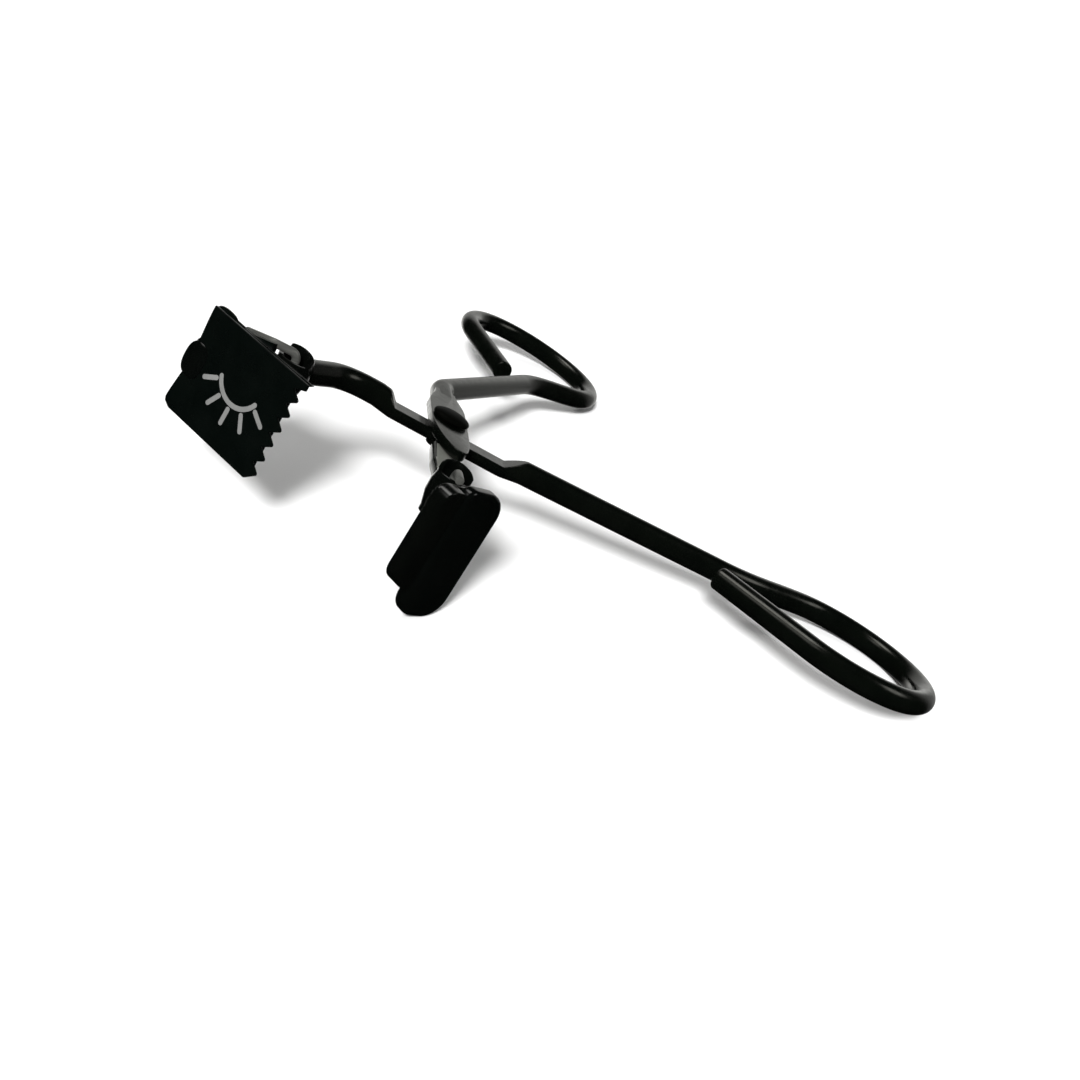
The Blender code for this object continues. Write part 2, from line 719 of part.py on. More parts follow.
black_metal = material("black_metal", (0.012, 0.013, 0.012), 0.28, 0.6)
coated_metal = material("coated_metal", (0.02, 0.021, 0.02), 0.33, 0.6)
grey_metal = material("grey_metal", (0.10, 0.11, 0.10), 0.35, 0.8)
rivet_metal = material("rivet_metal", (0.015, 0.015, 0.014), 0.25, 0.7)
black_nylon = material("black_nylon", (0.01, 0.01, 0.01), 0.5, 0.0)
comb_metal = material("comb_metal", (0.016, 0.018, 0.017), 0.35, 0.5)
silicone = material("silicone", (0.008, 0.008, 0.008), 0.22, 0.0)

tool = empty("tool_frame", None, (0.0, 0.0))
tool.location = REST_ORIGIN * MM
tool.rotation_euler = (REST_ROLL, REST_PITCH, 0.0)
pivot = empty("pivot_axis", tool, (0.0, 0.0))
comb = empty("comb_swivel_axis", tool, COMB_AXIS, COMB_ANGLE)
pad = empty("pad_swivel_axis", pivot, PAD_AXIS, PAD_ANGLE)
comb_end = empty("comb_barrel_axis", tool, COMB_AXIS, COMB_ANGLE)
pad_end = empty("pad_barrel_axis", pivot, PAD_AXIS, PAD_ANGLE)

add_part("arm_a", build_arm_a(), tool, coated_metal)
add_part("arm_b", build_arm_b(), pivot, coated_metal)
add_part("pivot_rivet", build_rivet(), tool, rivet_metal)
lap_washer = ring(
    RIVET_HOLE_RADIUS + 0.05, LAP_WASHER_RADIUS, LAP_TOP + 0.1, PLATE_BOTTOM - 0.1, 32
)
add_part("pivot_washer", lap_washer, tool, black_nylon)
build_swivel(
    "comb",
    comb,
    comb_end,
    COMB_BARREL_TOP,
    COMB_BARREL_BOTTOM,
    COMB_LEAN,
    COMB_WINDOW,
    COMB_HOOK_ANGLE,
    TONGUE_END,
)
add_part("comb_face_plate", canted(build_comb_face()), comb, comb_metal)
add_part("comb_strip", canted(build_comb_strip()), comb, comb_metal)
add_part("comb_back_plate", canted(build_comb_back()), comb, comb_metal)
add_part("comb_tab", canted(build_comb_tab()), comb, silicone)

build_swivel("pad", pad, pad_end, PAD_BARREL_TOP, PAD_BARREL_BOTTOM, PAD_LEAN, PAD_WINDOW, PAD_HOOK_ANGLE)
add_part("pad_carrier", canted(build_carrier()), pad, black_metal)
add_part("silicone_pad", canted(build_pad()), pad, silicone)
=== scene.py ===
"""Looks for the scissor-action eyelash curler: smooth coated wire arms, layered comb head, glossy
rubber pad, and a white studio table.

Sizes are in millimetres in the tool frame: its origin is the rivet's axis at the wires' centre
plane, +X runs along the lower arm's handle and +Z is the rivet's axis, towards its dome. The
packed joints say where that frame lies.
"""

import json
import math

import bmesh
import bpy
from mathutils import Matrix, Vector


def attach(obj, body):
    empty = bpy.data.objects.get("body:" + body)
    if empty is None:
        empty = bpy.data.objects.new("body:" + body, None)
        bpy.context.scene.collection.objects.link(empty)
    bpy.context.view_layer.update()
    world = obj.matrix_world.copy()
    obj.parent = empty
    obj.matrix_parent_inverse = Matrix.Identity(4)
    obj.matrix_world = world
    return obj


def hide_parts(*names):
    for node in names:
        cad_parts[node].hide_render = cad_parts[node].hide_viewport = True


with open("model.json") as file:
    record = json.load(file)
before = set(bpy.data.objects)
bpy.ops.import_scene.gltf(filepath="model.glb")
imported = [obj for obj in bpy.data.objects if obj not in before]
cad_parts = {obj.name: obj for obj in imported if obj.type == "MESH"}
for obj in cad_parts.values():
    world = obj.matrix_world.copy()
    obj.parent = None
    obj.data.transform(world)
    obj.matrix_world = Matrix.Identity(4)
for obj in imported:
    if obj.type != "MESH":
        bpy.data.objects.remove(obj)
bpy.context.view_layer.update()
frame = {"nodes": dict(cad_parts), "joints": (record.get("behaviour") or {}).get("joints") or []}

# Tool frame and head frames, from the joints' positions and shared axis.
COMB_BEARING = math.radians(204.847)
COMB_ANGLE = math.radians(-35.3)
PAD_ANGLE = math.radians(44)
HEAD_CANT = math.radians(2)
joints = {joint["name"]: joint for joint in frame["joints"]}
pivot_at = Vector(joints["scissor_pivot"]["pos_m"])
tool_up = Vector(joints["scissor_pivot"]["axis"]).normalized()
to_comb = Vector(joints["comb_swivel"]["pos_m"]) - pivot_at
to_pad = Vector(joints["pad_swivel"]["pos_m"]) - pivot_at
flat_to_comb = (to_comb - tool_up * to_comb.dot(tool_up)).normalized()
tool_x = Matrix.Rotation(-COMB_BEARING, 3, tool_up) @ flat_to_comb
TURN = Matrix((tool_x, tool_up.cross(tool_x), tool_up)).transposed()
TOOL = Matrix.Translation(pivot_at) @ TURN.to_4x4() @ Matrix.Scale(0.001, 4)
COMB_AXIS = TURN.transposed() @ to_comb * 1000
PAD_AXIS = TURN.transposed() @ to_pad * 1000
COMB_HEAD = TOOL @ Matrix.Translation(COMB_AXIS) @ Matrix.Rotation(COMB_ANGLE, 4, "Z")
PAD_HEAD = TOOL @ Matrix.Translation(PAD_AXIS) @ Matrix.Rotation(PAD_ANGLE, 4, "Z")
CANT = Matrix.Rotation(HEAD_CANT, 4, "Y")

# Arm wire and handle loops.
WIRE_RADIUS = 1.6
HANDLE_PITCH = math.radians(1.4)
HANDLE_ROLL = math.radians(2.4)
NECK_START = 40.8
LOOP_CENTRE = Vector((59.8, -6.7))
LOOP_HALF_LENGTH = 11.6
LOOP_HALF_WIDTH = 12.4
LOOP_ENTRY = math.radians(108)
LOOP_EXIT = math.radians(-135)
NECK_TENSION = 0.38
TAIL_LENGTH = 16.1
HANDLE_ANGLE = math.radians(65.1)
ARM_B_SHIFT = Vector((5.5, 8.0))
STATION_GAP = 0.3
WIRE_SIDES = 48

# Lower arm.
ARM_A_BEND = Vector((-14.2, 0.0, 0.0))
ARM_A_BEND_RADIUS = 5.9
LAP_START = -7.0
LAP_END = 8.9
LAP_RAMP_HEAD = 1.4
LAP_RAMP_HANDLE = 2.6
LAP_TOP = -0.15
LAP_DROP = 0.4
LAP_JOGGLE = 2.6
LAP_BEND_RADIUS = 2.0
SEAM_REACH = 1.72
FILE_BLEND = 0.12

# Upper arm: oval plate, wire and neck.
PLATE_ANGLE = math.radians(94.5)
PLATE_BOTTOM = 0.25
PLATE_TOP = 1.55
PLATE_HALF_WIDTH = 2.6
PLATE_NEAR_LENGTH = 11.2
PLATE_TIP_OFFSET = 1.0
PLATE_FAR_START = 6.0
PLATE_FAR_LENGTH = 13.0
PLATE_BEVEL = 0.16
PLATE_BLEND = 0.15
PLATE_TOP_SINK = 0.04
PLATE_UNDER_SINK = 0.05
ARM_B_BEND_DISTANCE = 16.5
ARM_B_BEND_RADIUS = 3.2
ARM_B_START = 6.0
ARM_B_FILED_LIMIT = 24
ARM_B_LAP = 7.5
ARM_B_TOP_RAMP_START = 10.4
ARM_B_TOP_SLOPE = 0.12
ARM_B_UNDER_SLOPE = 0.93
NECK_Z = -1.0
NECK_ROOT = 6.6
NECK_ROOT_Z = -0.6
NECK_TURN = 11.6
NECK_BEND_RADIUS = 4.0
NECK_HALF_WIDTH = 1.85
NECK_FLAT_START = 6.0
NECK_FLAT_HIGH = 0.3
NECK_FLAT_SLOPE = -0.075
# Where the neck's painted sheen goes: faces of the filed flat beyond this reach, within this band of its
# height, and facing up at least this much.
NECK_SHEEN_FROM = 7.5
NECK_SHEEN_BAND = 0.06
NECK_SHEEN_FACING = 0.9

# Rivet.
RIVET_HEAD_RADIUS = 2.5
RIVET_HEAD_HEIGHT = 1.0
RIVET_RIM = 0.3
RIVET_EDGE_RADIUS = 0.2
RIVET_SHANK_RADIUS = 1.2
RIVET_HOLE_RADIUS = 1.3
RIVET_HOLE_HALF_DEPTH = 3.0
RIVET_TAIL_RADIUS = 1.5
RIVET_TAIL_HEIGHT = 0.3
FIT_GAP = 0.12

# Printed mark on the comb's face, in the comb head's frame.
COMB_FACE_Y = -4.19
MARK_PLACE = Vector((-2.0, -3.25))
MARK_RADIUS = 3.4
MARK_WIDTH = 0.62
MARK_GAP = 0.1
MARK_LASH = 1.9
MARK_LASHES = (-150, -120, -90, -60, -30)
MARK_HEIGHT = 0.03
MARK_LIFT = 0.01

# Heads, each in its own frame: +X towards the free edge and -Y its front.
TAB_PLACE = Vector((-9.75, -5.55))
TAB_HALF_WIDTH = 1.75
TAB_HALF_HEIGHT = 2.3
TAB_BACK_Y = -3.2
TAB_FRONT_Y = -4.42
FLANGE_LEFT = -11.3
FLANGE_RIGHT = -6.3
FLANGE_HALF_HEIGHT = 2.8
FLANGE_FRONT_Y = -3.6
TONGUE_START = Vector((-2.3, -2.0, 2.05))
TONGUE_END = Vector((-6.8, -1.92, 1.0))
WEB_START = -8.6
WEB_END = -1.7
WEB_FRONT_Y = -2.75
WEB_BACK_Y = -1.95
WEB_BOTTOM = -0.4
CORNER_PLACE = Vector((-9.55, 1.05))
CORNER_HALF_WIDTH = 1.75
CORNER_HALF_HEIGHT = 0.62
CORNER_BACK_Y = -2.62
CORNER_FRONT_Y = -3.03
CARRIER_LEFT = -5.9
CARRIER_RIGHT = 2.8
CARRIER_LIP = 2.98
CARRIER_TOP = 0.6
CARRIER_BOTTOM = -12.6
CARRIER_SHEET = 0.45
CARRIER_BACK_Y = -2.9
CARRIER_FRONT_Y = -5.1
PAD_LEFT = -2.8
PAD_RIGHT = 4.5
PAD_TOP = 1.3
PAD_BOTTOM = -16.1
PAD_BACK_Y = -3.59
PAD_FRONT_Y = -5.4

# Rounding of the CAD nodes' edges, in metres.
BARREL_EASE = 0.00012
COMB_EASE = 0.0001
BACK_SHEET_EASE = 0.00008

# Camera and light, from the pivot.
CAMERA_OFFSET = Vector((-0.004582, -0.152932, 0.065296))
CAMERA_AZIMUTH = 7.88
CAMERA_ELEVATION = -26.29
CAMERA_ROLL = math.radians(20.66)
CAMERA_LENS = 43.01
KEY_AZIMUTH = 195.0
KEY_ELEVATION = 36.0
KEY_STRENGTH = 5.0
KEY_ANGLE = 12.0
FILL_STRENGTH = 0.75
FILL_ANGLE = 150.0
# Soft panels: azimuth from +Y towards +X, elevation, radius and edge in degrees, brightness.
PANELS = (
    (2.0, -8.0, 33.0, 6.0, 0.62),
    (38.0, -6.0, 22.0, 9.0, 0.28),
    (-19.0, -18.0, 10.0, 5.0, 0.9),
    (-45.0, 65.0, 10.0, 2.0, 4.0),
    (97.0, 38.0, 11.0, 3.0, 2.2),
    (-96.0, 57.0, 8.0, 3.0, 1.5),
)
PANEL_TINT = (1.0, 1.0, 0.97, 1.0)
PAPER_STRENGTH = 1.1


# ---- mesh helpers ----


def mesh_of(work):
    bmesh.ops.recalc_face_normals(work, faces=work.faces)
    mesh = bpy.data.meshes.new("shape")
    work.to_mesh(mesh)
    work.free()
    return mesh


def piece(name, mesh, place, body, look, nodes=(), sharp_degrees=40):
    """A shown piece: its mesh is in the given frame's axes, and it moves with a CAD body."""
    mesh.transform(place)
    mesh.name = name
    mesh.materials.clear()
    mesh.materials.append(look)
    mesh.shade_smooth()
    mesh.set_sharp_from_angle(angle=math.radians(sharp_degrees))
    made = bpy.data.objects.new(name, mesh)
    bpy.context.scene.collection.objects.link(made)
    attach(made, body)
    if nodes:
        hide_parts(*nodes)
    return made


def soft_min(first, second, blend):
    share = min(max(0.5 + 0.5 * (second - first) / blend, 0.0), 1.0)
    return second * (1 - share) + first * share - blend * share * (1 - share)


def resampled(path, gap=STATION_GAP):
    """The same line with its points an even distance apart."""
    lengths = [0.0]
    for before, after in zip(path, path[1:]):
        lengths.append(lengths[-1] + (after - before).length)
    count = max(2, round(lengths[-1] / gap))
    points = []
    index = 0
    for step in range(count + 1):
        reach = lengths[-1] * step / count
        while index < len(path) - 2 and lengths[index + 1] < reach:
            index += 1
        span = lengths[index + 1] - lengths[index]
        points.append(path[index].lerp(path[index + 1], (reach - lengths[index]) / span))
    return points


def lofted(rings):
    """Cross-sections joined into one closed skin."""
    work = bmesh.new()
    rows = [[work.verts.new(point) for point in ring] for ring in rings]
    count = len(rows[0])
    for first, second in zip(rows, rows[1:]):
        for index in range(count):
            after = (index + 1) % count
            work.faces.new((first[index], first[after], second[after], second[index]))
    work.faces.new(reversed(rows[0]))
    work.faces.new(rows[-1])
    return mesh_of(work)


def swept(path, size, sides=WIRE_SIDES, end_round=0.3, shaped=None):
    """Wire along the path. size(share) gives the half width and half height; the ends are eased."""
    path = resampled(path)
    last = len(path) - 1
    stations = []
    for index, point in enumerate(path):
        along = (path[min(index + 1, last)] - path[max(index - 1, 0)]).normalized()
        stations.append((point, along, index / last, 0.0))
    easing = []
    steps = 4
    for step in range(steps):
        angle = math.pi / 2 * step / steps
        easing.append((end_round * (1 - math.cos(angle)), end_round * (1 - math.sin(angle))))
    first, final = stations[0], stations[-1]
    start = [(first[0] + first[1] * back, first[1], 0.0, inset) for back, inset in easing]
    finish = [(final[0] - final[1] * back, final[1], 1.0, inset) for back, inset in reversed(easing)]
    inner = [s for s in stations if min((s[0] - first[0]).length, (s[0] - final[0]).length) > end_round]
    rings = []
    for point, along, share, inset in start + inner + finish:
        side = along.cross(Vector((0.0, 0.0, 1.0))).normalized()
        up = side.cross(along)
        half_width, half_height = size(share)
        ring = []
        for index in range(sides):
            angle = 2 * math.pi * index / sides
            across = (half_width - inset) * math.cos(angle)
            height = (half_height - inset) * math.sin(angle)
            spot = point + side * across + up * height
            ring.append(shaped(spot) if shaped else spot)
        rings.append(ring)
    return lofted(rings)


def slab(outline, low, high, bevel):
    """A flat outline between two heights, with its upper and lower rims eased."""
    work = bmesh.new()
    face = work.faces.new([work.verts.new((x, y, low)) for x, y in outline])
    grown = bmesh.ops.extrude_face_region(work, geom=[face])
    lifted = [item for item in grown["geom"] if isinstance(item, bmesh.types.BMVert)]
    bmesh.ops.translate(work, verts=lifted, vec=(0.0, 0.0, high - low))
    rim = [edge for edge in work.edges if abs(edge.verts[0].co.z - edge.verts[1].co.z) < 1e-6]
    bmesh.ops.bevel(work, geom=rim, offset=bevel, segments=3, profile=0.5, affect="EDGES")
    return mesh_of(work)


def turned(profile, steps=96):
    """A profile of (radius, height) pairs turned round Z; its first and last points are on the axis
    or it is a closed ring."""
    work = bmesh.new()
    rows = []
    for radius, height in profile:
        if radius < 1e-6:
            rows.append([work.verts.new((0.0, 0.0, height))])
            continue
        angles = [2 * math.pi * index / steps for index in range(steps)]
        rows.append([work.verts.new((radius * math.cos(a), radius * math.sin(a), height)) for a in angles])
    pairs = list(zip(rows, rows[1:]))
    if len(rows[0]) > 1:
        pairs.append((rows[-1], rows[0]))
    for first, second in pairs:
        for index in range(steps):
            after = (index + 1) % steps
            corners = [first[index % len(first)], first[after % len(first)]]
            corners += [second[after % len(second)], second[index % len(second)]]
            work.faces.new(list(dict.fromkeys(corners)))
    return mesh_of(work)


def combine(base, other, operation):
    first = bpy.data.objects.new("base", base)
    second = bpy.data.objects.new("other", other)
    for item in (first, second):
        bpy.context.scene.collection.objects.link(item)
    step = first.modifiers.new("cut", "BOOLEAN")
    step.operation = operation
    step.solver = "EXACT"
    step.object = second
    evaluated = first.evaluated_get(bpy.context.evaluated_depsgraph_get())
    mesh = bpy.data.meshes.new_from_object(evaluated)
    bpy.data.objects.remove(first, do_unlink=True)
    bpy.data.objects.remove(second, do_unlink=True)
    return mesh


def eased(name, width, segments=3, sharp_degrees=25):
    """A copy of a CAD node's mesh, in metres, with its facets merged and its sharp edges rounded."""
    work = bmesh.new()
    work.from_mesh(frame["nodes"][name].data)
    bmesh.ops.remove_doubles(work, verts=work.verts, dist=1e-6)
    bmesh.ops.dissolve_limit(
        work, angle_limit=math.radians(1.0), verts=work.verts, edges=work.edges, use_dissolve_boundaries=False
    )
    limit = math.radians(sharp_degrees)
    sharp = [edge for edge in work.edges if len(edge.link_faces) == 2 and edge.calc_face_angle() > limit]
    bmesh.ops.bevel(
        work, geom=sharp, offset=width, segments=segments, profile=0.5, affect="EDGES", clamp_overlap=True
    )
    return mesh_of(work)


def filleted(corners, radii, step=math.radians(4)):
    """The corner points joined by straight runs, each inner corner rounded to its radius."""
    path = [Vector(corners[0])]
    for before, corner, after, radius in zip(corners, corners[1:], corners[2:], radii):
        arriving = (corner - before).normalized()
        leaving = (after - corner).normalized()
        turn = arriving.angle(leaving)
        start = corner - arriving * radius * math.tan(turn / 2)
        inward = (leaving - arriving * arriving.dot(leaving)).normalized()
        centre = start + inward * radius
        count = max(2, round(turn / step))
        for index in range(count + 1):
            angle = turn * index / count
            path.append(centre - inward * radius * math.cos(angle) + arriving * radius * math.sin(angle))
    path.append(Vector(corners[-1]))
    return path


# ---- materials ----


def wired(name, colour, roughness, metallic=0.0, specular=0.5):
    """A node material, its Principled shader and its surface coordinates."""
    made = bpy.data.materials.new(name)
    made.use_nodes = True
    tree = made.node_tree
    shader = tree.nodes["Principled BSDF"]
    shader.inputs["Base Color"].default_value = (*colour, 1.0)
    shader.inputs["Roughness"].default_value = roughness
    shader.inputs["Metallic"].default_value = metallic
    shader.inputs["Specular IOR Level"].default_value = specular
    place = tree.nodes.new("ShaderNodeTexCoord")
    return made, tree, shader, place.outputs["Object"]


def noise(tree, place, scale, detail=3.0, stretch=None):
    """Noise whose cells are 1/scale metres; stretch gives its scale along each axis."""
    source = place
    if stretch:
        mapping = tree.nodes.new("ShaderNodeMapping")
        mapping.inputs["Scale"].default_value = stretch
        tree.links.new(place, mapping.inputs["Vector"])
        source = mapping.outputs["Vector"]
    made = tree.nodes.new("ShaderNodeTexNoise")
    made.inputs["Scale"].default_value = scale
    made.inputs["Detail"].default_value = detail
    tree.links.new(source, made.inputs["Vector"])
    return made.outputs["Fac"]


def ranged(tree, value, low, high, out_low, out_high):
    made = tree.nodes.new("ShaderNodeMapRange")
    made.inputs["From Min"].default_value = low
    made.inputs["From Max"].default_value = high
    made.inputs["To Min"].default_value = out_low
    made.inputs["To Max"].default_value = out_high
    tree.links.new(value, made.inputs["Value"])
    return made.outputs["Result"]


def mixed(tree, share, first, second):
    made = tree.nodes.new("ShaderNodeMix")
    made.data_type = "RGBA"
    tree.links.new(share, made.inputs["Factor"])
    for socket, colour in ((made.inputs[6], first), (made.inputs[7], second)):
        if isinstance(colour, tuple):
            socket.default_value = (*colour, 1.0)
        else:
            tree.links.new(colour, socket)
    return made.outputs[2]


def bumped(tree, shader, height, distance, strength=1.0):
    made = tree.nodes.new("ShaderNodeBump")
    made.inputs["Distance"].default_value = distance
    made.inputs["Strength"].default_value = strength
    tree.links.new(height, made.inputs["Height"])
    tree.links.new(made.outputs["Normal"], shader.inputs["Normal"])


def specks(tree, place, scale, radius, rarity):
    """Small round specks: 1 inside one, 0 elsewhere."""
    cells = tree.nodes.new("ShaderNodeTexVoronoi")
    cells.inputs["Scale"].default_value = scale
    tree.links.new(place, cells.inputs["Vector"])
    near = ranged(tree, cells.outputs["Distance"], radius * 0.5, radius, 1.0, 0.0)
    split = tree.nodes.new("ShaderNodeSeparateColor")
    tree.links.new(cells.outputs["Color"], split.inputs["Color"])
    chosen = ranged(tree, split.outputs["Red"], rarity, rarity + 0.01, 0.0, 1.0)
    both = tree.nodes.new("ShaderNodeMath")
    both.operation = "MULTIPLY"
    tree.links.new(near, both.inputs[0])
    tree.links.new(chosen, both.inputs[1])
    return both.outputs["Value"]


def coated(name, colour, worn, roughness, specular=0.5, peel=1e-6, sheen=(1.0, 1.0, 1.0)):
    """Black coating on steel: slight mottling, orange peel, uneven gloss and a few dust specks."""
    made, tree, shader, place = wired(name, colour, roughness, specular=specular)
    shader.inputs["Specular Tint"].default_value = (*sheen, 1.0)
    mottle = noise(tree, place, 350.0)
    tone = mixed(tree, ranged(tree, mottle, 0.35, 0.7, 0.0, 1.0), colour, worn)
    dust = specks(tree, place, 420.0, 0.045, 0.95)
    pale = tuple(min(channel * 6 + 0.05, 1.0) for channel in worn)
    tree.links.new(mixed(tree, dust, tone, pale), shader.inputs["Base Color"])
    gloss = noise(tree, place, 900.0, 4.0)
    level = ranged(tree, gloss, 0.3, 0.7, roughness - 0.05, roughness + 0.07)
    tree.links.new(level, shader.inputs["Roughness"])
    bumped(tree, shader, noise(tree, place, 1500.0, 2.0), peel)
    return made


def brushed(name, colour, bright, roughness, metallic, specular, stretch):
    """Metal with fine draw lines along one axis."""
    made, tree, shader, place = wired(name, colour, roughness, metallic, specular)
    lines = noise(tree, place, 300.0, 5.0, stretch)
    tone = mixed(tree, ranged(tree, lines, 0.35, 0.65, 0.0, 1.0), colour, bright)
    tree.links.new(tone, shader.inputs["Base Color"])
    level = ranged(tree, lines, 0.3, 0.7, roughness - 0.06, roughness + 0.08)
    tree.links.new(level, shader.inputs["Roughness"])
    bumped(tree, shader, lines, 3e-6)
    return made


def rubber(name, colour, bloom, roughness, specular):
    """Glossy silicone with faint bloom, tiny pores and dust."""
    made, tree, shader, place = wired(name, colour, roughness, specular=specular)
    cloud = ranged(tree, noise(tree, place, 220.0, 4.0), 0.4, 0.75, 0.0, 1.0)
    dust = specks(tree, place, 300.0, 0.06, 0.8)
    pale = (0.05, 0.05, 0.047)
    tree.links.new(mixed(tree, dust, mixed(tree, cloud, colour, bloom), pale), shader.inputs["Base Color"])
    level = ranged(tree, noise(tree, place, 700.0, 3.0), 0.3, 0.7, roughness - 0.05, roughness + 0.1)
    tree.links.new(level, shader.inputs["Roughness"])
    bumped(tree, shader, noise(tree, place, 900.0, 3.0), 3e-6)
    return made


def printed(name, colour, worn, roughness, specular):
    """Screen-printed ink: slightly patchy cover with a fine grain."""
    made, tree, shader, place = wired(name, colour, roughness, specular=specular)
    cover = ranged(tree, noise(tree, place, 600.0, 4.0), 0.35, 0.7, 0.0, 1.0)
    tree.links.new(mixed(tree, cover, colour, worn), shader.inputs["Base Color"])
    level = ranged(tree, noise(tree, place, 900.0, 3.0), 0.3, 0.7, roughness - 0.06, roughness + 0.08)
    tree.links.new(level, shader.inputs["Roughness"])
    bumped(tree, shader, noise(tree, place, 2500.0, 2.0), 3e-6)
    return made


def plain_table(name):
    made, tree, shader, place = wired(name, (0.9, 0.9, 0.9), 0.9, specular=0.0)
    grain = noise(tree, place, 60.0, 4.0)
    tree.links.new(mixed(tree, grain, (0.89, 0.89, 0.89), (0.92, 0.92, 0.92)), shader.inputs["Base Color"])
    return made


arm_coating = coated(
    "arm_coating", (0.0010, 0.0015, 0.0011), (0.0016, 0.0022, 0.0016), 0.2, sheen=(1.0, 1.0, 0.91)
)
# Painted sheen: this mid-grey base colour stands in for the light that the neck's filed flat reflects. Its
# mottling between two greys and its dust specks are random.
painted_sheen_grey = coated("painted_sheen_grey", (0.125, 0.128, 0.114), (0.15, 0.153, 0.137), 0.42, 0.4)
black_steel = coated("black_steel", (0.0010, 0.0013, 0.0011), (0.0015, 0.0019, 0.0015), 0.18)
rivet_steel = coated("rivet_steel", (0.0010, 0.0011, 0.0009), (0.0015, 0.0016, 0.0013), 0.4, 0.01)
comb_steel = coated("comb_steel", (0.0009, 0.0016, 0.0013), (0.0014, 0.0022, 0.0018), 0.3, 0.1)
pin_steel = brushed("pin_steel", (0.09, 0.092, 0.085), (0.13, 0.132, 0.122), 0.3, 0.5, 0.5, (1.0, 1.0, 8.0))
nylon = coated("nylon", (0.003, 0.003, 0.003), (0.005, 0.005, 0.005), 0.5)
silicone = rubber("silicone", (0.0009, 0.0013, 0.0011), (0.0014, 0.0018, 0.0016), 0.13, 0.35)
print_ink = printed("print_ink", (0.135, 0.136, 0.132), (0.155, 0.156, 0.152), 0.5, 0.3)


# ---- arms ----


def handle_outline():
    """The handle's centreline in its own plane: shaft, neck, oval loop and the tail beside the shaft."""

    def on_loop(angle):
        return LOOP_CENTRE + Vector((LOOP_HALF_LENGTH * math.cos(angle), LOOP_HALF_WIDTH * math.sin(angle)))

    def along_loop(angle):
        return Vector((LOOP_HALF_LENGTH * math.sin(angle), -LOOP_HALF_WIDTH * math.cos(angle))).normalized()

    start = Vector((NECK_START, 0.0))
    entry = on_loop(LOOP_ENTRY)
    pull = (entry - start).length * NECK_TENSION
    first = start + Vector((pull, 0.0))
    second = entry - along_loop(LOOP_ENTRY) * pull
    points = []
    neck_steps = 30
    for index in range(neck_steps):
        t = index / neck_steps
        s = 1 - t
        points.append(start * s**3 + first * 3 * s * s * t + second * 3 * s * t * t + entry * t**3)
    loop_steps = 120
    for index in range(loop_steps + 1):
        points.append(on_loop(LOOP_ENTRY + (LOOP_EXIT - LOOP_ENTRY) * index / loop_steps))
    points.append(points[-1] + along_loop(LOOP_EXIT) * TAIL_LENGTH)
    return points


def handle_points(mirrored):
    side = -1 if mirrored else 1
    shift = ARM_B_SHIFT if mirrored else Vector((0.0, 0.0))
    turn = HANDLE_ANGLE if mirrored else 0.0
    tilt = Matrix.Rotation(-HANDLE_PITCH, 3, "Y") @ Matrix.Rotation(-side * HANDLE_ROLL, 3, "X")
    swing = Matrix.Rotation(turn, 3, "Z")
    offset = Vector((shift.x, shift.y, 0.0))
    return [swing @ (tilt @ Vector((p.x, p.y * side, 0.0)) + offset) for p in handle_outline()]


def round_wire(share):
    return WIRE_RADIUS, WIRE_RADIUS


def lap_height(x):
    """Height of the lower arm's filed lap, and of the ramps that rise from it."""
    rise = WIRE_RADIUS - LAP_TOP
    if x < LAP_START:
        return LAP_TOP + (LAP_START - x) * rise / LAP_RAMP_HEAD
    if x > LAP_END:
        return LAP_TOP + (x - LAP_END) * rise / LAP_RAMP_HANDLE
    return LAP_TOP


def rivet_hole():
    """The cutter for the rivet's hole."""
    top = RIVET_HOLE_HALF_DEPTH
    return turned([(0.0, top), (RIVET_HOLE_RADIUS, top), (RIVET_HOLE_RADIUS, -top), (0.0, -top)])


def build_lower_wire():
    inner_end = Vector((COMB_AXIS.x, COMB_AXIS.y, 0.0))
    toward = (ARM_A_BEND - inner_end).normalized()
    lap_start = Vector((LAP_START, 0.0, -LAP_DROP))
    lap_end = Vector((LAP_END, 0.0, -LAP_DROP))
    corners = [
        inner_end + toward * SEAM_REACH,
        ARM_A_BEND,
        lap_start + Vector((-LAP_JOGGLE, 0.0, LAP_DROP)),
        lap_start,
        lap_end,
        lap_end + Vector((LAP_JOGGLE, 0.0, LAP_DROP)),
    ]
    radii = [ARM_A_BEND_RADIUS] + [LAP_BEND_RADIUS] * 3
    path = filleted(corners, radii) + handle_points(mirrored=False)

    def filed(spot):
        spot.z = soft_min(spot.z, lap_height(spot.x), FILE_BLEND)
        return spot

    mesh = swept(path, round_wire, shaped=filed)
    return combine(mesh, rivet_hole(), "DIFFERENCE")


def plate_outline():
    """Oval plate along +X: half an ellipse whose tip is set off to one side, then a taper to the wire."""
    steps = 40
    upper = []
    lower = []
    for index in range(steps + 1):
        angle = math.pi * (1 - 0.5 * index / steps)
        x = PLATE_NEAR_LENGTH * math.cos(angle)
        middle = -PLATE_TIP_OFFSET * (x / PLATE_NEAR_LENGTH) ** 2
        width = PLATE_HALF_WIDTH * math.sin(angle)
        upper.append((x, middle + width))
        lower.append((x, middle - width))
    narrow = WIRE_RADIUS - 0.1
    for index in range(1, steps + 1):
        x = PLATE_FAR_LENGTH * index / steps
        share = max(x - PLATE_FAR_START, 0.0) / (PLATE_FAR_LENGTH - PLATE_FAR_START)
        width = narrow + (PLATE_HALF_WIDTH - narrow) * (0.5 + 0.5 * math.cos(math.pi * share))
        upper.append((x, width))
        lower.append((x, -width))
    return upper + list(reversed(lower[1:]))


def neck_flat(spot, along):
    """Height of the neck's filed flat above a place."""
    return NECK_FLAT_HIGH + (-spot.dot(along) - NECK_FLAT_START) * NECK_FLAT_SLOPE


